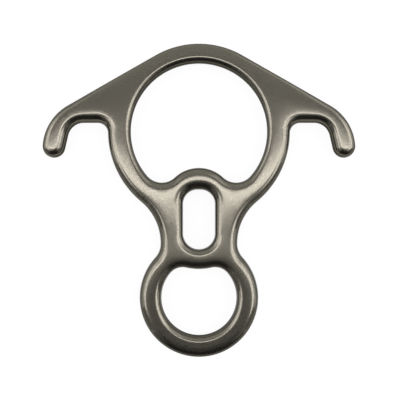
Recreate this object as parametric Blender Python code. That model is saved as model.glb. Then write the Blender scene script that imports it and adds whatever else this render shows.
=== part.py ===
# Rescue figure-eight descender, forged in one piece of aluminium alloy.
#
# It lies flat: +X runs across the ears, +Y from the clip eye to the rope eye, +Z out of the
# front face. The origin is on the back face, under the middle of the body's outline.
#
# The body is a flat forging of constant thickness. Four closed outlines shape it: the outside,
# the rope eye, the slot and the clip eye. Each outline is a belt laid round circles: arcs, and
# the straight lines that touch two of them. Across every edge the metal rolls over from the flat
# face to a steep wall, which the forging dies' draft leaves widest at half thickness, where the
# two dies meet.

import math
from collections import namedtuple

import bmesh
import bpy
from mathutils import Vector

MM = 0.001

# Whole body
THICKNESS = 11.0 * MM

# Rope eye: the large ring that the doubled rope runs through
ROPE_EYE_RADIUS = 32.75 * MM
CROWN_WALL = 9.2 * MM
SIDE_WALL = 10.95 * MM

# Saddle: the crest that the rope bends over, raised into the foot of the rope eye
SADDLE_DEPTH = 17.45 * MM
SADDLE_RADIUS = 16.9 * MM
SADDLE_CORNER_RADIUS = 9.25 * MM

# Slot below the saddle, a second clipping point
WEB_WALL = 10.4 * MM
SLOT_WIDTH = 15.4 * MM
SLOT_LENGTH = 28.7 * MM
SLOT_CORNER_RADIUS = 7.0 * MM

# Neck: the waist beside the slot
NECK_WALL = 10.7 * MM
NECK_RADIUS = 9.9 * MM

# Clip eye: the small ring, for the harness carabiner
BAR_WALL = 9.5 * MM
CLIP_EYE_RADIUS = 18.05 * MM
CLIP_EYE_WALL = 10.4 * MM
SILL_RISE = 4.4 * MM
SILL_RADIUS = 27.5 * MM
SILL_CORNER_RADIUS = 7.8 * MM

# Ears: the bent horns that stop the rope from locking round the ring
NOTCH_WIDTH = 19.3 * MM
NOTCH_RISE = 4.2 * MM
NOTCH_INNER_RADIUS = 5.0 * MM
NOTCH_OUTER_RADIUS = 7.65 * MM
FINGER_WALL = 12.0 * MM
FINGER_DROP = 12.55 * MM
FINGER_TIP_RADIUS = 5.4 * MM
FINGER_CURL = math.radians(4.8)
SHOULDER_RADIUS = 24.5 * MM

# Two rounded corners never take up a whole side: this much stays straight between them
LEAST_STRAIGHT = 0.4 * MM

# Edge roll: how far each edge rolls in from the outline before the face is flat
RIM_ROLL = 3.8 * MM
WAIST_ROLL = 4.4 * MM
CROWN_ROLL = 3.0 * MM
ROPE_EYE_ROLL = 2.4 * MM
ROPE_EYE_HEAD_ROLL = 3.2 * MM
SADDLE_CORNER_ROLL = 4.2 * MM
SADDLE_ROLL = 4.0 * MM
SLOT_TOP_ROLL = 4.1 * MM
SLOT_SIDE_ROLL = 4.0 * MM
SLOT_FOOT_ROLL = 2.7 * MM
CLIP_EYE_ROLL = 3.6 * MM
CLIP_EYE_FOOT_ROLL = 3.35 * MM
SILL_ROLL = 4.1 * MM
SILL_CORNER_ROLL = 5.3 * MM
NOTCH_ROLL = 10.5 * MM
NOTCH_INNER_ROLL = 5.2 * MM
FOOT_ROLL = 4.1 * MM
FINGER_ROLL = 4.4 * MM

# How far along the edge one roll eases into the next
ROLL_BLEND = 11.0 * MM

# The widest roll, as a share of the metal behind it and of an outward bend's radius
ROLL_WALL_SHARE = 0.44
ROLL_ARC_SHARE = 0.8

# The roll's section is a superellipse, flattened toward the face by one power and toward the
# wall by the other. It is this many times as deep as it is wide, down to the deepest roll.
FACE_POWER = 2.6
WALL_POWER = 1.4
ROLL_DEPTH_SHARE = 0.5
DEEPEST_ROLL = 4.3 * MM

# The wall below the roll: how far it leans out to the parting plane, and its least height
WALL_DRAFT = 0.33 * MM
LEAST_WALL = 0.5 * MM

# Facets
FACET_ERROR = 0.05 * MM
LINE_FACET = 6.0 * MM
TILT_STEP = math.radians(15.0)
SECTION_SAMPLES = 2000

# Satin anodised finish
FINISH_COLOUR = (0.150, 0.143, 0.122, 1.0)
FINISH_ROUGHNESS = 0.32

LEFT = 1
RIGHT = -1

# One circle that an outline is laid round: LEFT turns anticlockwise round it, RIGHT clockwise.
# It has one roll at both ends of its arc, and may have another in the middle.
Arc = namedtuple("Arc", "x y radius turn roll middle_roll", defaults=(None,))

# One place on an outline: where it is, the way into the metal, and the edge roll.
Place = namedtuple("Place", "point inward roll")


def mirrored(arc):
    """The same arc on the other side of the centre line."""
    return arc._replace(x=-arc.x)


def corner_between(ring_y, ring_radius, crest_y, crest_radius, corner_radius):
    """Centre of a corner that touches a ring from inside and a crest from outside."""
    from_ring = ring_radius - corner_radius
    from_crest = crest_radius + corner_radius
    apart = ring_y - crest_y
    drop = (from_ring ** 2 - from_crest ** 2 + apart ** 2) / (2 * apart)
    aside = math.sqrt(max(from_ring ** 2 - drop ** 2, 0.0))
    return aside, ring_y - drop


def heights():
    """Levels along the centre line, measured from the centre of the rope eye."""
    level = {}
    level["saddle"] = -SADDLE_DEPTH
    level["slot top"] = level["saddle"] - WEB_WALL
    level["slot foot"] = level["slot top"] - SLOT_LENGTH
    level["sill"] = level["slot foot"] - BAR_WALL
    level["clip eye"] = level["sill"] + SILL_RISE - CLIP_EYE_RADIUS
    level["crown"] = ROPE_EYE_RADIUS + CROWN_WALL
    level["foot"] = level["clip eye"] - CLIP_EYE_RADIUS - CLIP_EYE_WALL
    return level


def ear_arcs(side_radius):
    """The right ear, from the ring's side up through the notch and round the finger."""
    room = (NOTCH_WIDTH - LEAST_STRAIGHT) / (NOTCH_INNER_RADIUS + NOTCH_OUTER_RADIUS)
    inner_radius = NOTCH_INNER_RADIUS * min(room, 1.0)
    outer_radius = NOTCH_OUTER_RADIUS * min(room, 1.0)
    inner_y = NOTCH_RISE - inner_radius
    inner_x = math.sqrt((side_radius + inner_radius) ** 2 - inner_y ** 2)
    finger_inside = side_radius + NOTCH_WIDTH
    finger_outside = finger_inside + FINGER_WALL
    outer_x = finger_inside - outer_radius
    outer_y = NOTCH_RISE - outer_radius
    tip_radius = min(FINGER_TIP_RADIUS, FINGER_WALL / 2)
    tip_x = finger_outside - tip_radius
    tip_y = tip_radius - FINGER_DROP
    reach = SHOULDER_RADIUS - tip_radius
    shoulder_x = tip_x - reach * math.cos(FINGER_CURL)
    shoulder_y = tip_y - reach * math.sin(FINGER_CURL)
    return [
        Arc(inner_x, inner_y, inner_radius, RIGHT, NOTCH_INNER_ROLL),
        Arc(outer_x, outer_y, outer_radius, RIGHT, NOTCH_ROLL),
        Arc(tip_x, tip_y, tip_radius, LEFT, FINGER_ROLL),
        Arc(shoulder_x, shoulder_y, SHOULDER_RADIUS, LEFT, RIM_ROLL),
    ]


def outside_arcs(level):
    """The body's outside, anticlockwise from the foot."""
    foot_radius = CLIP_EYE_RADIUS + CLIP_EYE_WALL
    side_radius = ROPE_EYE_RADIUS + SIDE_WALL
    waist = SLOT_WIDTH / 2 + NECK_WALL
    rise = math.sqrt((foot_radius + NECK_RADIUS) ** 2 - (waist + NECK_RADIUS) ** 2)
    waist_y = level["clip eye"] + rise
    flare = (waist ** 2 + waist_y ** 2 - side_radius ** 2) / (2 * (side_radius - waist))
    right_side = [
        Arc(waist + NECK_RADIUS, waist_y, NECK_RADIUS, RIGHT, WAIST_ROLL),
        Arc(waist + flare, waist_y, flare, RIGHT, WAIST_ROLL),
        Arc(0.0, 0.0, side_radius, LEFT, RIM_ROLL),
    ]
    right_side += ear_arcs(side_radius)
    foot = Arc(0.0, level["clip eye"], foot_radius, LEFT, FOOT_ROLL)
    crown = Arc(0.0, 0.0, level["crown"], LEFT, CROWN_ROLL)
    left_side = [mirrored(arc) for arc in reversed(right_side)]
    return [foot] + right_side + [crown] + left_side


def rope_eye_arcs(level):
    """The rope eye, clockwise, with the saddle raised into its foot."""
    saddle_y = level["saddle"] - SADDLE_RADIUS
    x, y = corner_between(0.0, ROPE_EYE_RADIUS, saddle_y, SADDLE_RADIUS, SADDLE_CORNER_RADIUS)
    ring = Arc(0.0, 0.0, ROPE_EYE_RADIUS, RIGHT, ROPE_EYE_ROLL, ROPE_EYE_HEAD_ROLL)
    corner = Arc(x, y, SADDLE_CORNER_RADIUS, RIGHT, SADDLE_CORNER_ROLL)
    saddle = Arc(0.0, saddle_y, SADDLE_RADIUS, LEFT, SADDLE_ROLL)
    return [ring, corner, saddle, mirrored(corner)]


def slot_arcs(level):
    """The slot, clockwise: two corners at its top and a full round at its foot."""
    half = SLOT_WIDTH / 2
    corner_radius = min(SLOT_CORNER_RADIUS, half - LEAST_STRAIGHT / 2)
    corner_y = level["slot top"] - corner_radius
    corner = Arc(half - corner_radius, corner_y, corner_radius, RIGHT, SLOT_TOP_ROLL)
    foot = Arc(0.0, level["slot foot"] + half, half, RIGHT, SLOT_SIDE_ROLL, SLOT_FOOT_ROLL)
    return [corner, foot, mirrored(corner)]


def clip_eye_arcs(level):
    """The clip eye, clockwise, with the sill bowed gently into its head."""
    sill_y = level["sill"] + SILL_RADIUS
    x, y = corner_between(-level["clip eye"], CLIP_EYE_RADIUS, -sill_y, SILL_RADIUS,
                          SILL_CORNER_RADIUS)
    ring = Arc(0.0, level["clip eye"], CLIP_EYE_RADIUS, RIGHT, CLIP_EYE_ROLL, CLIP_EYE_FOOT_ROLL)
    corner = Arc(x, -y, SILL_CORNER_RADIUS, RIGHT, SILL_CORNER_ROLL)
    sill = Arc(0.0, sill_y, SILL_RADIUS, LEFT, SILL_ROLL)
    return [ring, mirrored(corner), sill, corner]


def heading_between(first, second):
    """The direction of the straight line that leaves one circle and meets the next."""
    across = second.x - first.x
    along = second.y - first.y
    lean = (first.turn * first.radius - second.turn * second.radius) / math.hypot(across, along)
    return math.atan2(along, across) + math.asin(max(-1.0, min(1.0, lean)))


def point_on(arc, heading):
    """Where the outline lies on a circle while it runs in this direction."""
    return Vector((arc.x + arc.turn * arc.radius * math.sin(heading),
                   arc.y - arc.turn * arc.radius * math.cos(heading)))


def roll_on(arc, share):
    """The roll at this share of an arc's sweep, eased from its ends to its middle."""
    if arc.middle_roll is None:
        return arc.roll
    return arc.roll + (arc.middle_roll - arc.roll) * math.sin(math.pi * share) ** 2


def facet_count(radius, sweep):
    """Facets that keep an arc within FACET_ERROR of its true curve."""
    facet = 2 * math.acos(1 - FACET_ERROR / radius)
    return max(2, math.ceil(sweep / facet))


def laid_round(arcs):
    """Points with the inward direction and the roll, along the belt round these circles."""
    places = []
    headings = [heading_between(arc, arcs[(i + 1) % len(arcs)]) for i, arc in enumerate(arcs)]
    for i, arc in enumerate(arcs):
        start = headings[i - 1]
        sweep = arc.turn * (headings[i] - start) % (2 * math.pi)
        facets = facet_count(arc.radius, sweep)
        for step in range(facets + 1):
            share = step / facets
            heading = start + arc.turn * sweep * share
            inward = Vector((-math.sin(heading), math.cos(heading)))
            places.append(Place(point_on(arc, heading), inward, roll_on(arc, share)))
        following = arcs[(i + 1) % len(arcs)]
        leave = places[-1]
        meet = point_on(following, headings[i])
        length = (meet - leave.point).length
        pieces = math.ceil(length / LINE_FACET)
        for step in range(1, pieces):
            share = step / pieces
            roll = arc.roll + (following.roll - arc.roll) * share
            places.append(Place(leave.point.lerp(meet, share), leave.inward, roll))
    return without_repeats(places)


def without_repeats(places):
    """Arcs that touch share a point: keep one of the two."""
    kept = []
    for i, place in enumerate(places):
        if (place.point - places[i - 1].point).length > FACET_ERROR:
            kept.append(place)
    return kept


def wall_behind(place, outlines):
    """Metal from this place straight in to the next edge that faces it."""
    nearest = math.inf
    for outline in outlines:
        for i, here in enumerate(outline):
            back = outline[i - 1].point
            along = here.point - back
            turn = place.inward.x * along.y - place.inward.y * along.x
            if abs(turn) < 1e-12:
                continue
            gap = back - place.point
            depth = (gap.x * along.y - gap.y * along.x) / turn
            share = (gap.x * place.inward.y - gap.y * place.inward.x) / turn
            if depth > FACET_ERROR and 0.0 <= share <= 1.0:
                nearest = min(nearest, depth)
    return nearest


def blended_rolls(outline, outlines):
    """Each roll width, kept within its wall and eased into its neighbours along the edge."""
    allowed = [min(place.roll, ROLL_WALL_SHARE * wall_behind(place, outlines))
               for place in outline]
    eased = []
    for here in outline:
        total = 0.0
        weight = 0.0
        for there, roll in zip(outline, allowed):
            closeness = math.exp(-((there.point - here.point).length / ROLL_BLEND) ** 2)
            total += closeness * roll
            weight += closeness
        eased.append(total / weight)
    return [min(roll, limit) for roll, limit in zip(eased, tightest_rolls(outline))]


def tightest_rolls(outline):
    """The widest roll that an outward bend takes before its inner edge folds over."""
    limits = []
    for i, place in enumerate(outline):
        before = outline[i - 1]
        after = outline[(i + 1) % len(outline)]
        bend = before.inward.cross(after.inward)
        length = (after.point - before.point).length
        limits.append(ROLL_ARC_SHARE * length / bend if bend > 1e-9 else math.inf)
    return limits


def roll_section():
    """The roll from the flat face down to the wall: shares of its width and depth, at even tilts."""
    points = []
    for sample in range(SECTION_SAMPLES + 1):
        lift = math.pi / 2 * (1 - sample / SECTION_SAMPLES)
        out = max(math.cos(lift), 0.0) ** (2 / FACE_POWER)
        down = 1 - max(math.sin(lift), 0.0) ** (2 / WALL_POWER)
        points.append((out, down))
    section = [points[0]]
    tilt = TILT_STEP
    for (out, down), (next_out, next_down) in zip(points, points[1:]):
        if math.atan2((next_down - down) * ROLL_DEPTH_SHARE, next_out - out) >= tilt:
            section.append((out, down))
            tilt += TILT_STEP
    return section + [points[-1]]


def edge_section(roll, shares):
    """The edge's section from back to front for one roll: the inset from the outline, and Z."""
    half = THICKNESS / 2
    depth = min(roll * ROLL_DEPTH_SHARE, DEEPEST_ROLL, half - LEAST_WALL)
    front = [(WALL_DRAFT + (roll - WALL_DRAFT) * (1 - out), half - depth * down)
             for out, down in shares]
    back = [(inset, -height) for inset, height in front]
    section = back + [(0.0, 0.0)] + front[::-1]
    return [(inset, half + height) for inset, height in section]


def loft_edge(mesh, outline, rolls, centre_y):
    """Sweep the edge's section along one outline and return its back and front edge loops."""
    shares = roll_section()
    columns = []
    for place, roll in zip(outline, rolls):
        column = []
        for inset, z in edge_section(roll, shares):
            spot = place.point + place.inward * inset
            column.append(mesh.verts.new((spot.x, spot.y - centre_y, z)))
        columns.append(column)
    for i, column in enumerate(columns):
        before = columns[i - 1]
        for j in range(len(column) - 1):
            mesh.faces.new((before[j], column[j], column[j + 1], before[j + 1]))
    loops = []
    for end in (0, -1):
        loops.append([mesh.edges.get((columns[i - 1][end], columns[i][end]))
                      for i in range(len(columns))])
    return loops


def build_body_mesh():
    """Roll the edge of each outline and close the flat faces between them."""
    level = heights()
    outlines = [laid_round(arcs) for arcs in (outside_arcs(level), rope_eye_arcs(level),
                                              slot_arcs(level), clip_eye_arcs(level))]
    centre_y = (level["crown"] + level["foot"]) / 2
    body = bmesh.new()
    back = []
    front = []
    for outline in outlines:
        back_loop, front_loop = loft_edge(body, outline, blended_rolls(outline, outlines), centre_y)
        back += back_loop
        front += front_loop
    for loops, side in ((back, -1), (front, 1)):
        bmesh.ops.triangle_fill(body, edges=loops, use_beauty=True, normal=(0, 0, side))
    bmesh.ops.recalc_face_normals(body, faces=body.faces)
    mesh = bpy.data.meshes.new("descender_body")
    body.to_mesh(mesh)
    body.free()
    mesh.shade_smooth()
    return mesh


def anodised_aluminium():
    """Dark grey satin anodising over forged and tumbled aluminium."""
    finish = bpy.data.materials.new("anodised_aluminium")
    finish.use_nodes = True
    shader = finish.node_tree.nodes["Principled BSDF"]
    shader.inputs["Base Color"].default_value = FINISH_COLOUR
    shader.inputs["Metallic"].default_value = 1.0
    shader.inputs["Roughness"].default_value = FINISH_ROUGHNESS
    return finish


def build():
    for item in list(bpy.data.objects):
        bpy.data.objects.remove(item, do_unlink=True)
    mesh = build_body_mesh()
    mesh.materials.append(anodised_aluminium())
    body = bpy.data.objects.new("descender_body", mesh)
    bpy.context.scene.collection.objects.link(body)
    # The flat faces are large and thin-edged, so they lead the shading of the points they share.
    shading = body.modifiers.new("even_shading", "WEIGHTED_NORMAL")
    shading.weight = 100


build()
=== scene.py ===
# Looks of a rescue figure-eight descender: one hot-forged aluminium body, tumbled smooth and
# anodised dark grey, lying flat on a pale floor and seen from straight above.
#
# The forged body is laid round the same circles as its solid, with a far finer surface and with
# an edge roll measured for each stretch of edge. +X runs across the ears, +Y from the clip eye to
# the rope eye, +Z out of the front face.

import math
from collections import namedtuple

import bmesh
import bpy
import numpy as np
from mathutils import Matrix, Vector, noise
from mathutils.geometry import delaunay_2d_cdt


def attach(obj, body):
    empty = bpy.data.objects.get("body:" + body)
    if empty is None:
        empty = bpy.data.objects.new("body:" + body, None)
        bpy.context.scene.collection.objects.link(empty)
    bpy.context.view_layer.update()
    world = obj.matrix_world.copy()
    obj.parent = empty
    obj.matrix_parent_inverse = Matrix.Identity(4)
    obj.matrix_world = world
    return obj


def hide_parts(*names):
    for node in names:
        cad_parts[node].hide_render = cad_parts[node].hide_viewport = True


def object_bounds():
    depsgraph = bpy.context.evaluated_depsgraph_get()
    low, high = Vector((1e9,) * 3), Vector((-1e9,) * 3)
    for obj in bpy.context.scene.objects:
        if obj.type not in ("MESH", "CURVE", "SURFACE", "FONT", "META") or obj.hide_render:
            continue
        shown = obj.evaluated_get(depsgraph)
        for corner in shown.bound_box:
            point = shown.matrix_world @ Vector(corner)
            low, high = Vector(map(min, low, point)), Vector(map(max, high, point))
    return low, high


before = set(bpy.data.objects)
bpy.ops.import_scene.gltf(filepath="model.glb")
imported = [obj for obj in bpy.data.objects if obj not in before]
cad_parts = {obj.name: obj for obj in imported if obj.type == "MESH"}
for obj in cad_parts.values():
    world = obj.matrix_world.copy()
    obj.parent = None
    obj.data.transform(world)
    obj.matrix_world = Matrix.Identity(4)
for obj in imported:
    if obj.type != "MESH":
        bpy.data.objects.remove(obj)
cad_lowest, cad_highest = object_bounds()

MM = 0.001

# Whole body
THICKNESS = cad_highest.z - cad_lowest.z
HALF = THICKNESS / 2

# Rope eye: the large ring that the doubled rope runs through
ROPE_EYE_RADIUS = 32.75 * MM
CROWN_WALL = 9.2 * MM
SIDE_WALL = 10.95 * MM

# Saddle: the crest that the rope bends over, raised into the foot of the rope eye
SADDLE_DEPTH = 17.45 * MM
SADDLE_RADIUS = 16.9 * MM
SADDLE_CORNER_RADIUS = 9.25 * MM

# Slot below the saddle, a second clipping point
WEB_WALL = 10.4 * MM
SLOT_WIDTH = 15.4 * MM
SLOT_LENGTH = 28.7 * MM
SLOT_CORNER_RADIUS = 7.0 * MM

# Neck: the waist beside the slot
NECK_WALL = 10.7 * MM
NECK_RADIUS = 9.9 * MM

# Clip eye: the small ring, for the harness carabiner
BAR_WALL = 9.5 * MM
CLIP_EYE_RADIUS = 18.05 * MM
CLIP_EYE_WALL = 10.4 * MM
SILL_RISE = 4.4 * MM
SILL_RADIUS = 27.5 * MM
SILL_CORNER_RADIUS = 7.8 * MM

# Ears: the bent horns that stop the rope from locking round the ring
NOTCH_WIDTH = 19.3 * MM
NOTCH_RISE = 4.2 * MM
NOTCH_INNER_RADIUS = 5.0 * MM
NOTCH_OUTER_RADIUS = 7.65 * MM
FINGER_WALL = 12.0 * MM
FINGER_DROP = 12.55 * MM
FINGER_TIP_RADIUS = 5.4 * MM
FINGER_CURL = math.radians(4.8)
SHOULDER_RADIUS = 24.5 * MM

# Edge roll: how far each stretch of edge rolls in from the outline before the face is flat
RIM_ROLL = 3.8 * MM
SHOULDER_ROLL = 1.8 * MM
EAR_CORNER_ROLL = 2.3 * MM
WAIST_ROLL = 4.4 * MM
CROWN_ROLL = 2.2 * MM
ROPE_EYE_ROLL = 2.3 * MM
ROPE_EYE_HEAD_ROLL = 3.0 * MM
SADDLE_CORNER_ROLL = 4.0 * MM
SADDLE_ROLL = 3.8 * MM
SLOT_TOP_ROLL = 4.6 * MM
SLOT_SIDE_ROLL = 3.8 * MM
SLOT_FOOT_ROLL = 2.55 * MM
CLIP_EYE_ROLL = 3.4 * MM
CLIP_EYE_FOOT_ROLL = 3.15 * MM
SILL_ROLL = 3.9 * MM
SILL_CORNER_ROLL = 5.0 * MM
NOTCH_ROLL = 10.5 * MM
NOTCH_INNER_ROLL = 4.4 * MM
FOOT_ROLL = 4.1 * MM
FINGER_ROLL = 4.4 * MM

# How far along the edge one roll eases into the next
ROLL_BLEND = 11.0 * MM

# The widest roll, as a share of the metal behind it and of an outward bend's radius
ROLL_WALL_SHARE = 0.48
ROLL_ARC_SHARE = 0.8

# The roll's section is a superellipse, flattened toward the face by one power and toward the
# wall by the other. Its depth is a share of its width, down to the deepest roll. Openings have
# a shallower section than the outside.
FACE_POWER = 2.6
Section = namedtuple("Section", "wall_power depth_share")
OUTSIDE_SECTION = Section(1.8, 0.75)
ROPE_EYE_SECTION = Section(1.25, 0.46)
SLOT_SECTION = Section(1.4, 0.5)
CLIP_EYE_SECTION = Section(1.6, 0.65)
DEEPEST_ROLL = 4.3 * MM

# The wall below the roll: how far it leans out to the parting plane, and its least height
WALL_DRAFT = 0.33 * MM
LEAST_WALL = 0.5 * MM

# Parting line: the faint ridge left where the forging's flash was trimmed off
PARTING_HALF_HEIGHT = 0.35 * MM
PARTING_PROUD = 0.03 * MM

# How fine the outlines are: the error and the greatest and least length of one facet
FACET_ERROR = 0.008 * MM
LINE_FACET = 0.8 * MM
LEAST_FACET = 0.08 * MM

# How fine the edge roll is: the tilt from one row to the next, and the least gap between two rows
# as a share of the section, picked from this many samples of its curve
TILT_STEP = math.radians(5.0)
SECTION_GAP = 0.005
SECTION_SAMPLES = 2001

# How fine the flat faces are: staggered rows of even triangles, this far from the borders
FACE_GRID = 1.5 * MM
ROW_GAP = FACE_GRID * math.sqrt(0.75)
GRID_CLEARANCE = 0.8 * MM
MERGE_DISTANCE = 1e-7

# Below these, two lines count as parallel and a bend as straight
PARALLEL = 1e-12
STRAIGHT = 1e-9

# Crowned faces: how far they fall away at an edge, and how far in from it this reaches
CROWN_DROP = 0.08 * MM
CROWN_REACH = 5.5 * MM

# Forged surface: slow shallow waves that the tumbling leaves, with shorter ones half as deep
WAVE_LENGTH = 16 * MM
SHORT_WAVE_LENGTH = 8 * MM
WAVE_DEPTH = 0.012 * MM
SHORT_WAVE_DEPTH = 0.006 * MM

# The way that an outline turns round a circle, with the metal on its left
LEFT = 1
RIGHT = -1

# One circle that an outline is laid round. It has one roll at both ends of its arc, and may have
# another in the middle.
Arc = namedtuple("Arc", "x y radius turn roll middle_roll", defaults=(None,))

# One point of an outline, the direction into the metal, and the roll there
Place = namedtuple("Place", "point inward roll")


def mirrored(arc):
    """The same arc on the other side of the centre line."""
    return arc._replace(x=-arc.x)


def corner_between(ring_y, ring_radius, crest_y, crest_radius, corner_radius):
    """Centre of a corner that touches a ring from inside and a crest from outside."""
    from_ring = ring_radius - corner_radius
    from_crest = crest_radius + corner_radius
    apart = ring_y - crest_y
    drop = (from_ring ** 2 - from_crest ** 2 + apart ** 2) / (2 * apart)
    aside = math.sqrt(max(from_ring ** 2 - drop ** 2, 0.0))
    return aside, ring_y - drop


def heights():
    """Levels along the centre line, measured from the centre of the rope eye."""
    level = {}
    level["saddle"] = -SADDLE_DEPTH
    level["slot top"] = level["saddle"] - WEB_WALL
    level["slot foot"] = level["slot top"] - SLOT_LENGTH
    level["sill"] = level["slot foot"] - BAR_WALL
    level["clip eye"] = level["sill"] + SILL_RISE - CLIP_EYE_RADIUS
    level["crown"] = ROPE_EYE_RADIUS + CROWN_WALL
    level["foot"] = level["clip eye"] - CLIP_EYE_RADIUS - CLIP_EYE_WALL
    return level


def ear_arcs(side_radius):
    """The right ear, from the ring's side up through the notch and round the finger."""
    inner_y = NOTCH_RISE - NOTCH_INNER_RADIUS
    inner_x = math.sqrt((side_radius + NOTCH_INNER_RADIUS) ** 2 - inner_y ** 2)
    finger_inside = side_radius + NOTCH_WIDTH
    finger_outside = finger_inside + FINGER_WALL
    tip_x = finger_outside - FINGER_TIP_RADIUS
    tip_y = FINGER_TIP_RADIUS - FINGER_DROP
    reach = SHOULDER_RADIUS - FINGER_TIP_RADIUS
    shoulder_x = tip_x - reach * math.cos(FINGER_CURL)
    shoulder_y = tip_y - reach * math.sin(FINGER_CURL)
    outer_x = finger_inside - NOTCH_OUTER_RADIUS
    outer_y = NOTCH_RISE - NOTCH_OUTER_RADIUS
    return [
        Arc(inner_x, inner_y, NOTCH_INNER_RADIUS, RIGHT, NOTCH_INNER_ROLL),
        Arc(outer_x, outer_y, NOTCH_OUTER_RADIUS, RIGHT, NOTCH_ROLL),
        Arc(tip_x, tip_y, FINGER_TIP_RADIUS, LEFT, FINGER_ROLL),
        Arc(shoulder_x, shoulder_y, SHOULDER_RADIUS, LEFT, SHOULDER_ROLL, EAR_CORNER_ROLL),
    ]


def outside_arcs(level):
    """The body's outside, anticlockwise from the foot."""
    foot_radius = CLIP_EYE_RADIUS + CLIP_EYE_WALL
    side_radius = ROPE_EYE_RADIUS + SIDE_WALL
    waist = SLOT_WIDTH / 2 + NECK_WALL
    rise = math.sqrt((foot_radius + NECK_RADIUS) ** 2 - (waist + NECK_RADIUS) ** 2)
    waist_y = level["clip eye"] + rise
    flare = (waist ** 2 + waist_y ** 2 - side_radius ** 2) / (2 * (side_radius - waist))
    right_side = [
        Arc(waist + NECK_RADIUS, waist_y, NECK_RADIUS, RIGHT, WAIST_ROLL),
        Arc(waist + flare, waist_y, flare, RIGHT, WAIST_ROLL),
        Arc(0.0, 0.0, side_radius, LEFT, RIM_ROLL),
    ]
    right_side += ear_arcs(side_radius)
    foot = Arc(0.0, level["clip eye"], foot_radius, LEFT, FOOT_ROLL)
    crown = Arc(0.0, 0.0, level["crown"], LEFT, CROWN_ROLL)
    left_side = [mirrored(arc) for arc in reversed(right_side)]
    return [foot] + right_side + [crown] + left_side


def rope_eye_arcs(level):
    """The rope eye, clockwise, with the saddle raised into its foot."""
    saddle_y = level["saddle"] - SADDLE_RADIUS
    x, y = corner_between(0.0, ROPE_EYE_RADIUS, saddle_y, SADDLE_RADIUS, SADDLE_CORNER_RADIUS)
    ring = Arc(0.0, 0.0, ROPE_EYE_RADIUS, RIGHT, ROPE_EYE_ROLL, ROPE_EYE_HEAD_ROLL)
    corner = Arc(x, y, SADDLE_CORNER_RADIUS, RIGHT, SADDLE_CORNER_ROLL)
    saddle = Arc(0.0, saddle_y, SADDLE_RADIUS, LEFT, SADDLE_ROLL)
    return [ring, corner, saddle, mirrored(corner)]


def slot_arcs(level):
    """The slot, clockwise: two corners at its top and a full round at its foot."""
    half = SLOT_WIDTH / 2
    corner_y = level["slot top"] - SLOT_CORNER_RADIUS
    corner = Arc(half - SLOT_CORNER_RADIUS, corner_y, SLOT_CORNER_RADIUS, RIGHT, SLOT_TOP_ROLL)
    foot = Arc(0.0, level["slot foot"] + half, half, RIGHT, SLOT_SIDE_ROLL, SLOT_FOOT_ROLL)
    return [corner, foot, mirrored(corner)]


def clip_eye_arcs(level):
    """The clip eye, clockwise, with the sill bowed gently into its head."""
    sill_y = level["sill"] + SILL_RADIUS
    x, y = corner_between(-level["clip eye"], CLIP_EYE_RADIUS, -sill_y, SILL_RADIUS,
                          SILL_CORNER_RADIUS)
    ring = Arc(0.0, level["clip eye"], CLIP_EYE_RADIUS, RIGHT, CLIP_EYE_ROLL, CLIP_EYE_FOOT_ROLL)
    corner = Arc(x, -y, SILL_CORNER_RADIUS, RIGHT, SILL_CORNER_ROLL)
    sill = Arc(0.0, sill_y, SILL_RADIUS, LEFT, SILL_ROLL)
    return [ring, mirrored(corner), sill, corner]


def heading_between(first, second):
    """The direction of the straight line that leaves one circle and meets the next."""
    across = second.x - first.x
    along = second.y - first.y
    lean = (first.turn * first.radius - second.turn * second.radius) / math.hypot(across, along)
    return math.atan2(along, across) + math.asin(max(-1.0, min(1.0, lean)))


def point_on(arc, heading):
    """Where the outline lies on a circle while it runs in this direction."""
    return Vector((arc.x + arc.turn * arc.radius * math.sin(heading),
                   arc.y - arc.turn * arc.radius * math.cos(heading)))


def roll_on(arc, share):
    """The roll at this share of an arc's sweep, eased from its ends to its middle."""
    if arc.middle_roll is None:
        return arc.roll
    return arc.roll + (arc.middle_roll - arc.roll) * math.sin(math.pi * share) ** 2


def facet_count(radius, sweep):
    """Facets that keep an arc within FACET_ERROR of its curve, none longer than LINE_FACET."""
    facet = min(2 * math.acos(1 - FACET_ERROR / radius), LINE_FACET / radius)
    return max(2, math.ceil(sweep / facet))


def laid_round(arcs):
    """Points with the inward direction and the roll, along the belt round these circles."""
    places = []
    headings = [heading_between(arc, arcs[(i + 1) % len(arcs)]) for i, arc in enumerate(arcs)]
    for i, arc in enumerate(arcs):
        start = headings[i - 1]
        sweep = arc.turn * (headings[i] - start) % (2 * math.pi)
        facets = facet_count(arc.radius, sweep)
        for step in range(facets + 1):
            share = step / facets
            heading = start + arc.turn * sweep * share
            inward = Vector((-math.sin(heading), math.cos(heading)))
            places.append(Place(point_on(arc, heading), inward, roll_on(arc, share)))
        following = arcs[(i + 1) % len(arcs)]
        leave = places[-1]
        meet = point_on(following, headings[i])
        length = (meet - leave.point).length
        pieces = math.ceil(length / LINE_FACET)
        for step in range(1, pieces):
            share = step / pieces
            roll = arc.roll + (following.roll - arc.roll) * share
            places.append(Place(leave.point.lerp(meet, share), leave.inward, roll))
    return without_repeats(places)


def without_repeats(places):
    """Arcs that touch share a point: keep one of the two."""
    kept = []
    for i, place in enumerate(places):
        if (place.point - places[i - 1].point).length > LEAST_FACET:
            kept.append(place)
    return kept


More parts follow.
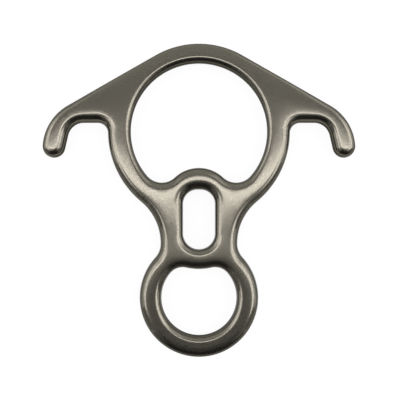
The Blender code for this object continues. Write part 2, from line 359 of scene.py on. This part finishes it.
def walls_behind(outline, outlines):
    """Metal from each place straight in to the next edge that faces it."""
    start = np.array([tuple(place.point) for place in outline])
    inward = np.array([tuple(place.inward) for place in outline])
    nearest = np.full(len(outline), math.inf)
    for other in outlines:
        here = np.array([tuple(place.point) for place in other])
        back = np.roll(here, 1, axis=0)
        along = here - back
        turn = inward[:, :1] * along[:, 1] - inward[:, 1:] * along[:, 0]
        turn[np.abs(turn) < PARALLEL] = PARALLEL
        gap = back[None] - start[:, None]
        depth = (gap[..., 0] * along[:, 1] - gap[..., 1] * along[:, 0]) / turn
        share = (gap[..., 0] * inward[:, 1:] - gap[..., 1] * inward[:, :1]) / turn
        met = (depth > LINE_FACET) & (share >= 0) & (share <= 1)
        nearest = np.minimum(nearest, np.where(met, depth, math.inf).min(axis=1))
    return nearest


def blended_rolls(outline, outlines):
    """Each roll width, kept within its wall and eased into its neighbours along the edge."""
    own = np.array([place.roll for place in outline])
    allowed = np.minimum(own, ROLL_WALL_SHARE * walls_behind(outline, outlines))
    spots = np.array([tuple(place.point) for place in outline])
    apart = np.linalg.norm(spots[:, None] - spots[None], axis=2)
    closeness = np.exp(-(apart / ROLL_BLEND) ** 2)
    eased = closeness @ allowed / closeness.sum(axis=1)
    return np.minimum(eased, tightest_rolls(outline))


def tightest_rolls(outline):
    """The widest roll that an outward bend takes before its inner edge folds over."""
    limits = []
    for i, place in enumerate(outline):
        before = outline[i - 1]
        after = outline[(i + 1) % len(outline)]
        bend = before.inward.cross(after.inward)
        length = (after.point - before.point).length
        limits.append(ROLL_ARC_SHARE * length / bend if bend > STRAIGHT else math.inf)
    return np.array(limits)


def roll_section(section):
    """Shares of the roll's width and depth from the flat face down to the wall, at even tilts."""
    face_power = 2 / FACE_POWER
    wall_power = 2 / section.wall_power
    angles = np.linspace(math.pi / 2, 0, SECTION_SAMPLES)
    out = np.clip(np.cos(angles), 0, 1) ** face_power
    down = 1 - np.clip(np.sin(angles), 0, 1) ** wall_power
    tilts = np.arctan2(np.diff(down) * section.depth_share, np.diff(out))
    steps = round(math.pi / 2 / TILT_STEP)
    wanted = np.linspace(0, math.pi / 2, steps + 1)[1:-1]
    shares = [(0.0, 0.0)]
    for angle in np.interp(wanted, tilts, (angles[1:] + angles[:-1]) / 2):
        share = (math.cos(angle) ** face_power, 1 - math.sin(angle) ** wall_power)
        if min(math.dist(share, shares[-1]), math.dist(share, (1.0, 1.0))) > SECTION_GAP:
            shares.append(share)
    shares.append((1.0, 1.0))
    return shares


def edge_rows(outline, rolls, section, centre_y):
    """Rows of points from the front face's border, over the edge, to the back face's border."""
    spots = np.array([tuple(place.point) for place in outline]) - (0.0, centre_y)
    inward = np.array([tuple(place.inward) for place in outline])
    depths = np.minimum(rolls * section.depth_share, min(DEEPEST_ROLL, HALF - LEAST_WALL))
    on_outline = np.zeros(len(outline))

    def row(inset, z):
        flat = spots + inward * inset[:, None]
        return np.column_stack((flat, np.broadcast_to(z, len(flat))))

    front = []
    for out, down in roll_section(section):
        inset = WALL_DRAFT + (rolls - WALL_DRAFT) * (1 - out)
        front.append(row(inset, THICKNESS - depths * down))
    front.append(row(on_outline, HALF + PARTING_HALF_HEIGHT))
    ridge = row(on_outline - PARTING_PROUD, HALF)
    back = [points * (1, 1, -1) + (0, 0, THICKNESS) for points in reversed(front)]
    return front + [ridge] + back


def inside(points, loops):
    """Which points lie on the metal: inside an odd number of the closed loops."""
    odd = np.zeros(len(points), bool)
    for loop in loops:
        here = np.asarray(loop)
        back = np.roll(here, 1, axis=0)
        for (x0, y0), (x1, y1) in zip(back, here):
            crosses = (y0 > points[:, 1]) != (y1 > points[:, 1])
            rise = y1 - y0 if y1 != y0 else PARALLEL
            meet = x0 + (points[:, 1] - y0) * (x1 - x0) / rise
            odd ^= crosses & (points[:, 0] < meet)
    return odd


def face_points(loops):
    """A staggered grid of points over the flat face, clear of its borders."""
    border = np.concatenate([np.asarray(loop) for loop in loops])
    low = border.min(axis=0)
    high = border.max(axis=0)
    points = []
    for j in range(int((high[1] - low[1]) / ROW_GAP) + 1):
        shift = FACE_GRID / 2 * (j % 2)
        for i in range(int((high[0] - low[0]) / FACE_GRID) + 1):
            points.append((low[0] + shift + i * FACE_GRID, low[1] + j * ROW_GAP))
    points = np.array(points)
    points = points[inside(points, loops)]
    near = np.full(len(points), math.inf)
    for spot in border:
        near = np.minimum(near, np.hypot(*(points - spot).T))
    return points[near > GRID_CLEARANCE]


def crowned(points, outlines, centre_y):
    """The points with both faces let fall smoothly toward every edge."""
    crowned_points = np.array(points)
    drop = np.zeros(len(crowned_points))
    for outline in outlines:
        edge = np.array([tuple(place.point) for place in outline]) - (0.0, centre_y)
        lengths = np.linalg.norm(np.roll(edge, -1, axis=0) - np.roll(edge, 1, axis=0), axis=1) / 2
        for spot, length in zip(edge, lengths):
            apart = ((crowned_points[:, :2] - spot) ** 2).sum(axis=1)
            drop += length * np.exp(-apart / CROWN_REACH ** 2)
    drop *= CROWN_DROP / (math.sqrt(math.pi) * CROWN_REACH)
    crowned_points[:, 2] = HALF + (crowned_points[:, 2] - HALF) * (1 - drop / HALF)
    return [tuple(point) for point in crowned_points]


def rolled_edges(outlines, centre_y):
    """Points and faces over every edge, and the border loops of the front and the back face."""
    points = []
    faces = []
    front_loops = []
    back_loops = []
    sections = (OUTSIDE_SECTION, ROPE_EYE_SECTION, SLOT_SECTION, CLIP_EYE_SECTION)
    for outline, section in zip(outlines, sections):
        rows = edge_rows(outline, blended_rolls(outline, outlines), section, centre_y)
        count = len(outline)
        first = len(points)
        last = first + (len(rows) - 1) * count
        for row in rows:
            points += [tuple(point) for point in row]
        for upper in range(first, last, count):
            lower = upper + count
            for i in range(count):
                j = (i + 1) % count
                faces.append((upper + i, lower + i, lower + j, upper + j))
        front_loops.append(range(first, first + count))
        back_loops.append(range(last, last + count))
    return points, faces, front_loops, back_loops


def face_triangles(borders, grid):
    """Triangles over the metal inside the borders. They count the border points, then the grid."""
    spots = [Vector(spot) for border in borders for spot in border]
    edges = []
    start = 0
    for border in borders:
        size = len(border)
        edges += [(start + i, start + (i + 1) % size) for i in range(size)]
        start += size
    spots += [Vector(spot) for spot in grid]
    corners, _, triangles, origins, _, _ = delaunay_2d_cdt(spots, edges, [], 0, MERGE_DISTANCE)
    middles = np.array([np.mean([corners[i] for i in triangle], axis=0) for triangle in triangles])
    return [tuple(origins[i][0] for i in triangle)
            for triangle, on_metal in zip(triangles, inside(middles, borders)) if on_metal]


def wave(mesh):
    """Turn every face outward, and add the waves that the tumbling leaves."""
    body = bmesh.new()
    body.from_mesh(mesh)
    bmesh.ops.recalc_face_normals(body, faces=body.faces)
    body.normal_update()
    for vertex in body.verts:
        rise = (WAVE_DEPTH * noise.noise(vertex.co / WAVE_LENGTH)
                + SHORT_WAVE_DEPTH * noise.noise(vertex.co / SHORT_WAVE_LENGTH))
        vertex.co += vertex.normal * rise
    body.to_mesh(mesh)
    body.free()


def forged_body_mesh():
    """Every rolled edge, and both flat faces filled with a fine even mesh."""
    level = heights()
    centre_y = (level["crown"] + level["foot"]) / 2
    outlines = [laid_round(arcs) for arcs in (outside_arcs(level), rope_eye_arcs(level),
                                              slot_arcs(level), clip_eye_arcs(level))]
    points, faces, front_loops, back_loops = rolled_edges(outlines, centre_y)
    borders = [[points[i][:2] for i in loop] for loop in front_loops]
    grid = face_points(borders)
    triangles = face_triangles(borders, grid)
    for loops, z, turned in ((front_loops, THICKNESS, False), (back_loops, 0.0, True)):
        corners = [i for loop in loops for i in loop]
        corners += range(len(points), len(points) + len(grid))
        points += [(x, y, z) for x, y in grid]
        for triangle in triangles:
            face = tuple(corners[i] for i in triangle)
            faces.append(face[::-1] if turned else face)
    mesh = bpy.data.meshes.new("forged_body")
    mesh.from_pydata(crowned(points, outlines, centre_y), [], faces)
    wave(mesh)
    mesh.shade_smooth()
    return mesh


def put(tree, socket, value):
    """Set an input socket to a number or colour, or link it to an output."""
    if isinstance(value, bpy.types.NodeSocket):
        tree.links.new(value, socket)
    else:
        socket.default_value = value


def arithmetic(tree, operation, first, second=0.0):
    """One Math node on one or two numbers or outputs."""
    node = tree.nodes.new("ShaderNodeMath")
    node.operation = operation
    put(tree, node.inputs[0], first)
    put(tree, node.inputs[1], second)
    return node.outputs[0]


def stretched(tree, value, low, high, to_low=0.0, to_high=1.0):
    """A value taken from one range to another, and held inside it."""
    node = tree.nodes.new("ShaderNodeMapRange")
    put(tree, node.inputs["Value"], value)
    put(tree, node.inputs["From Min"], low)
    put(tree, node.inputs["From Max"], high)
    put(tree, node.inputs["To Min"], to_low)
    put(tree, node.inputs["To Max"], to_high)
    return node.outputs["Result"]


def blended(tree, share, first, second):
    """A mix of two colours by a share."""
    node = tree.nodes.new("ShaderNodeMix")
    node.data_type = "RGBA"
    put(tree, node.inputs["Factor"], share)
    colours_in = [socket for socket in node.inputs if socket.type == "RGBA"]
    put(tree, colours_in[0], first)
    put(tree, colours_in[1], second)
    return [socket for socket in node.outputs if socket.type == "RGBA"][0]


def new_group(name, inputs, outputs):
    """A shader node group with named inputs and outputs, and its two end nodes."""
    group = bpy.data.node_groups.new(name, "ShaderNodeTree")
    for label, kind, value in inputs:
        socket = group.interface.new_socket(label, in_out="INPUT", socket_type=kind)
        socket.default_value = value
    for label, kind in outputs:
        group.interface.new_socket(label, in_out="OUTPUT", socket_type=kind)
    return group, group.nodes.new("NodeGroupInput"), group.nodes.new("NodeGroupOutput")


# Tumbled and anodised finish: a mottle that varies the colour, the gloss and the height
FINISH_LIGHT = (0.158, 0.148, 0.119, 1.0)
FINISH_DARK = (0.090, 0.0845, 0.0675, 1.0)
ROUGHNESS_LOW = 0.08
ROUGHNESS_HIGH = 0.13
SPECKLE_SIZE = 0.42 * MM
SPECKLE_DEPTH = 0.0018 * MM
SPECKLE_DETAIL = 2.0
SPECKLE_ROUGHNESS = 0.6
SPECKLE_DARK_END = 0.33
SPECKLE_LIGHT_END = 0.67

# Steep walls mirror the pale floor at a grazing angle: this tint keeps them dark
GRAZING_TINT = (0.32, 0.32, 0.32, 1.0)

# Sparse bright flecks: the share of cells that have one, and its core and rim as shares of a cell
FLECK_COLOUR = (0.20, 0.19, 0.165, 1.0)
FLECK_SPACING = 0.9 * MM
FLECK_SHARE = 0.05
FLECK_CORE = 0.15
FLECK_RIM = 0.35


def tumbled_speckle():
    """Fine mottling from tumbling: a tone between 0 and 1, and a mask of sparse bright flecks."""
    group, given, result = new_group(
        "tumbled_speckle", [("Position", "NodeSocketVector", (0.0, 0.0, 0.0))],
        [("Tone", "NodeSocketFloat"), ("Fleck", "NodeSocketFloat")])
    mottle = group.nodes.new("ShaderNodeTexNoise")
    put(group, mottle.inputs["Vector"], given.outputs["Position"])
    mottle.inputs["Scale"].default_value = 1 / SPECKLE_SIZE
    mottle.inputs["Detail"].default_value = SPECKLE_DETAIL
    mottle.inputs["Roughness"].default_value = SPECKLE_ROUGHNESS
    tone = stretched(group, mottle.outputs["Fac"], SPECKLE_DARK_END, SPECKLE_LIGHT_END)
    cells = group.nodes.new("ShaderNodeTexVoronoi")
    put(group, cells.inputs["Vector"], given.outputs["Position"])
    cells.inputs["Scale"].default_value = 1 / FLECK_SPACING
    chance = group.nodes.new("ShaderNodeSeparateColor")
    put(group, chance.inputs["Color"], cells.outputs["Color"])
    chosen = arithmetic(group, "LESS_THAN", chance.outputs["Red"], FLECK_SHARE)
    spot = stretched(group, cells.outputs["Distance"], FLECK_CORE, FLECK_RIM, 1.0, 0.0)
    put(group, result.inputs["Tone"], tone)
    put(group, result.inputs["Fleck"], arithmetic(group, "MULTIPLY", chosen, spot))
    return group


def anodised_aluminium(speckle_group):
    """Dark grey satin anodising over a tumbled forging."""
    finish = bpy.data.materials.new("anodised_aluminium_fine")
    finish.use_nodes = True
    tree = finish.node_tree
    shader = tree.nodes["Principled BSDF"]
    speckle = tree.nodes.new("ShaderNodeGroup")
    speckle.node_tree = speckle_group
    position = tree.nodes.new("ShaderNodeTexCoord").outputs["Object"]
    put(tree, speckle.inputs["Position"], position)
    tone = speckle.outputs["Tone"]
    mottled = blended(tree, tone, FINISH_DARK, FINISH_LIGHT)
    flecked = blended(tree, speckle.outputs["Fleck"], mottled, FLECK_COLOUR)
    roughness = stretched(tree, tone, 0.0, 1.0, ROUGHNESS_HIGH, ROUGHNESS_LOW)
    bump = tree.nodes.new("ShaderNodeBump")
    bump.inputs["Distance"].default_value = SPECKLE_DEPTH
    put(tree, bump.inputs["Height"], tone)
    put(tree, shader.inputs["Base Color"], flecked)
    put(tree, shader.inputs["Roughness"], roughness)
    put(tree, shader.inputs["Normal"], bump.outputs["Normal"])
    put(tree, shader.inputs["Metallic"], 1.0)
    put(tree, shader.inputs["Specular Tint"], GRAZING_TINT)
    return finish


def forged_body(speckle_group):
    """The whole descender, as one fine mesh in place of its faceted solid."""
    mesh = forged_body_mesh()
    mesh.materials.append(anodised_aluminium(speckle_group))
    body = bpy.data.objects.new("forged_body", mesh)
    bpy.context.scene.collection.objects.link(body)
    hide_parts("descender_body")
    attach(body, "root")


# Floor: its reach each way, its gap below the body, and the share of it that the camera and the
# metal see as plain white. The rest keeps the shadow.
FLOOR_REACH = 4.0
FLOOR_DROP = 0.2 * MM
FLOOR_COLOUR = (0.8, 0.8, 0.8, 1.0)
FLOOR_WHITE_SHARE = 0.92


def flat_panel(name, corners):
    """One four-cornered panel."""
    mesh = bpy.data.meshes.new(name)
    mesh.from_pydata(corners, [], [(0, 1, 2, 3)])
    panel = bpy.data.objects.new(name, mesh)
    bpy.context.scene.collection.objects.link(panel)
    return panel


def white_floor():
    """A pale floor that camera, mirror and glass rays see as white, and that keeps the shadow."""
    reach = FLOOR_REACH
    floor_z = -FLOOR_DROP
    floor = flat_panel("floor", [(-reach, -reach, floor_z), (reach, -reach, floor_z),
                                 (reach, reach, floor_z), (-reach, reach, floor_z)])
    paper = bpy.data.materials.new("floor_paper")
    paper.use_nodes = True
    tree = paper.node_tree
    tree.nodes.clear()
    matt = tree.nodes.new("ShaderNodeBsdfDiffuse")
    matt.inputs["Color"].default_value = FLOOR_COLOUR
    glow = tree.nodes.new("ShaderNodeEmission")
    rays = tree.nodes.new("ShaderNodeLightPath")
    seen = arithmetic(tree, "MAXIMUM", rays.outputs["Is Camera Ray"], rays.outputs["Is Glossy Ray"])
    seen = arithmetic(tree, "MAXIMUM", seen, rays.outputs["Is Transmission Ray"])
    share = arithmetic(tree, "MULTIPLY", seen, FLOOR_WHITE_SHARE)
    mixed = tree.nodes.new("ShaderNodeMixShader")
    tree.links.new(share, mixed.inputs[0])
    tree.links.new(matt.outputs[0], mixed.inputs[1])
    tree.links.new(glow.outputs[0], mixed.inputs[2])
    out = tree.nodes.new("ShaderNodeOutputMaterial")
    tree.links.new(mixed.outputs[0], out.inputs["Surface"])
    floor.data.materials.append(paper)


# Cards that only the metal mirrors, each with its tone straight in front of the body and its tone
# at both flanks. Overhead they leave a gap, where the metal mirrors the lamps and the white room.
# Past it they darken toward the studio's front, run on down it and come back along the table.
PALE_CARD = (0.60, 0.60)
GREY_CARD = (0.37, 0.66)
DARK_CARD = (0.17, 0.54)
BLACK_CARD = (0.09, 0.52)
UPRIGHT_CARD = (0.08, 0.27)
SKIRTING_CARD = (0.22, 0.36)
TABLE_CARD = (0.38, 0.60)
CORNER_CARD = (0.42, 0.42)

# Between these ratios of X to Y, a card's tone changes from the middle one to the flank's
FLANK_START = 0.50
FLANK_END = 0.95

# Overhead cards, in metres
CARD_HEIGHT = 2.7
CARD_HALF_WIDTH = 2.0
PALE_CARD_FAR_Y = 0.42
PALE_CARD_NEAR_Y = 0.17
GREY_CARD_Y = -0.20
DARK_CARD_Y = -0.52
BLACK_CARD_Y = -1.2

# Studio's front, and the card along the table
FRONT_Y = -2.7
FRONT_HALF_WIDTH = 3.0
SKIRTING_HEIGHT = 0.65
TABLE_CARD_Y = -0.108

# Upright cards that close both front corners
CORNER_NEAR = (2.30, -1.93)
CORNER_FAR = (2.95, -0.85)
CORNER_HEIGHT = 3.2


def toward_flanks():
    """A card's tone: one straight in front of the body, easing to another at both flanks."""
    group, given, result = new_group(
        "toward_flanks", [("Position", "NodeSocketVector", (0.0, 0.0, 0.0)),
                          ("Middle", "NodeSocketFloat", 0.0),
                          ("Flank", "NodeSocketFloat", 0.0)],
        [("Tone", "NodeSocketFloat")])
    place = group.nodes.new("ShaderNodeSeparateXYZ")
    put(group, place.inputs[0], given.outputs["Position"])
    across = arithmetic(group, "ABSOLUTE", place.outputs["X"])
    along = arithmetic(group, "ABSOLUTE", place.outputs["Y"])
    tone = stretched(group, arithmetic(group, "DIVIDE", across, along), FLANK_START, FLANK_END,
                     given.outputs["Middle"], given.outputs["Flank"])
    put(group, result.inputs["Tone"], tone)
    return group


def matt_card(name, tones, flank_group):
    """Matt painted card, of one tone straight in front of the body and another at both flanks."""
    paint = bpy.data.materials.new(name)
    paint.use_nodes = True
    tree = paint.node_tree
    shader = tree.nodes["Principled BSDF"]
    graded = tree.nodes.new("ShaderNodeGroup")
    graded.node_tree = flank_group
    position = tree.nodes.new("ShaderNodeTexCoord").outputs["Object"]
    middle, flank = tones
    put(tree, graded.inputs["Position"], position)
    put(tree, graded.inputs["Middle"], middle)
    put(tree, graded.inputs["Flank"], flank)
    put(tree, shader.inputs["Base Color"], graded.outputs["Tone"])
    put(tree, shader.inputs["Roughness"], 1.0)
    put(tree, shader.inputs["Specular IOR Level"], 0.0)
    return paint


def mirrored_card(name, tones, corners, flank_group):
    """A card that only the metal mirrors: the camera, the floor and the shadow pass it by."""
    panel = flat_panel(name, corners)
    panel.data.materials.append(matt_card(name, tones, flank_group))
    panel.visible_camera = False
    panel.visible_diffuse = False
    panel.visible_shadow = False


def mirrored_cards(flank_group):
    """The cards overhead, down the studio's front, along the table and in both front corners."""
    half = CARD_HALF_WIDTH
    top = CARD_HEIGHT
    wide = FRONT_HALF_WIDTH
    for name, tones, near_y, far_half, far_y in (
            ("card_pale", PALE_CARD, PALE_CARD_NEAR_Y, half, PALE_CARD_FAR_Y),
            ("card_grey", GREY_CARD, GREY_CARD_Y, half, DARK_CARD_Y),
            ("card_dark", DARK_CARD, DARK_CARD_Y, half, BLACK_CARD_Y),
            ("card_black", BLACK_CARD, BLACK_CARD_Y, wide, FRONT_Y)):
        corners = [(-half, near_y, top), (half, near_y, top),
                   (far_half, far_y, top), (-far_half, far_y, top)]
        mirrored_card(name, tones, corners, flank_group)
    for name, tones, bottom, head in (("card_upright", UPRIGHT_CARD, SKIRTING_HEIGHT, top),
                                      ("card_skirting", SKIRTING_CARD, 0.0, SKIRTING_HEIGHT)):
        corners = [(-wide, FRONT_Y, bottom), (wide, FRONT_Y, bottom),
                   (wide, FRONT_Y, head), (-wide, FRONT_Y, head)]
        mirrored_card(name, tones, corners, flank_group)
    corners = [(-wide, FRONT_Y, 0), (wide, FRONT_Y, 0),
               (wide, TABLE_CARD_Y, 0), (-wide, TABLE_CARD_Y, 0)]
    mirrored_card("card_on_table", TABLE_CARD, corners, flank_group)
    near_x, near_y = CORNER_NEAR
    far_x, far_y = CORNER_FAR
    for side, name in ((1, "card_corner_right"), (-1, "card_corner_left")):
        corners = [(side * near_x, near_y, 0), (side * far_x, far_y, 0),
                   (side * far_x, far_y, CORNER_HEIGHT), (side * near_x, near_y, CORNER_HEIGHT)]
        mirrored_card(name, CORNER_CARD, corners, flank_group)


def leaning(across, up):
    """The direction that leans from overhead by these angles, in degrees, to +X and to +Y."""
    lean = math.radians(math.hypot(across, up))
    turn = math.atan2(up, across)
    aside = math.sin(lean)
    return Vector((aside * math.cos(turn), aside * math.sin(turn), math.cos(lean)))


LAMP_DISTANCE = 2.5
LAMP_COLOUR = (1.0, 0.985, 1.035)

# Softboxes: centre and a place further along their length, as leans in degrees, length and
# width in metres, and radiance
SOFTBOXES = {
    "overhead_band": ((0.0, 1.18), (10.0, 1.18), 1.40, 0.165, 5.4),
    "strip_foot": ((0.0, -2.4), (10.0, -2.4), 1.40, 0.14, 0.2),
    "strip_right": ((10.8, 4.3), (20.0, 4.3), 0.50, 0.11, 1.4),
    "strip_left": ((-12.5, 4.1), (-20.0, 4.1), 0.45, 0.09, 1.0),
    "key_right": ((28.5, 0.0), (40.0, 0.0), 1.16, 1.18, 3.6),
    "fill_right": ((28.0, 28.0), (36.0, 36.0), 1.90, 1.05, 0.75),
    "wing_right": ((43.0, 10.0), (52.0, 12.0), 0.66, 1.45, 2.3),
    "side_right": ((60.4, 8.5), (68.0, 9.6), 0.95, 2.00, 0.9),
    "low_right": ((74.9, 13.2), (82.0, 14.5), 0.75, 1.90, 0.6),
    "key_left": ((-28.0, 0.0), (-40.0, 0.0), 1.10, 1.10, 3.0),
    "fill_left": ((-30.0, 23.0), (-40.0, 30.6), 1.70, 0.75, 0.6),
    "wing_left": ((-43.0, 10.6), (-52.0, 12.6), 0.66, 1.45, 2.1),
    "side_left": ((-60.4, 8.5), (-68.0, 9.6), 0.95, 2.00, 0.7),
    "low_left": ((-74.9, 13.2), (-82.0, 14.5), 0.75, 1.80, 0.25),
    "back": ((0.0, 48.0), (10.0, 48.0), 3.20, 2.60, 0.14),
}


def softbox(name, centre, beyond, length, width, radiance):
    """A soft lamp that faces the body. Its power is its radiance times pi times its area."""
    lamp = bpy.data.lights.new(name, "AREA")
    lamp.shape = "RECTANGLE"
    lamp.color = LAMP_COLOUR
    lamp.size = length
    lamp.size_y = width
    lamp.energy = radiance * math.pi * length * width
    box = bpy.data.objects.new(name, lamp)
    away = leaning(*centre)
    along = leaning(*beyond) - away
    along = (along - away * along.dot(away)).normalized()
    place = Matrix((along, away.cross(along), away)).transposed().to_4x4()
    place.translation = away * LAMP_DISTANCE
    box.matrix_world = place
    bpy.context.scene.collection.objects.link(box)
    box.visible_camera = False


def studio_light():
    """A white room with soft lamps overhead, to both sides and behind."""
    world = bpy.data.worlds.new("studio_white")
    world.use_nodes = True
    background = world.node_tree.nodes["Background"]
    background.inputs["Color"].default_value = (1, 1, 1, 1)
    background.inputs["Strength"].default_value = 1.0
    bpy.context.scene.world = world
    for name, settings in SOFTBOXES.items():
        softbox(name, *settings)


# Camera, straight above the body and aimed a little off its middle, as in the photo
CAMERA_DISTANCE = 474.5 * MM
CAMERA_X = 0.50 * MM
CAMERA_Y = 0.23 * MM
VIEW_WIDTH = 192.2 * MM
SENSOR_WIDTH = 36.0


def overhead_camera():
    """The camera, above the body's mid thickness and looking straight down."""
    data = bpy.data.cameras.new("camera")
    data.sensor_width = SENSOR_WIDTH
    data.lens = SENSOR_WIDTH * CAMERA_DISTANCE / VIEW_WIDTH
    camera = bpy.data.objects.new("camera", data)
    camera.location = (CAMERA_X, CAMERA_Y, HALF + CAMERA_DISTANCE)
    bpy.context.scene.collection.objects.link(camera)
    bpy.context.scene.camera = camera


bpy.context.scene.view_settings.view_transform = "Standard"
forged_body(tumbled_speckle())
white_floor()
mirrored_cards(toward_flanks())
studio_light()
overhead_camera()
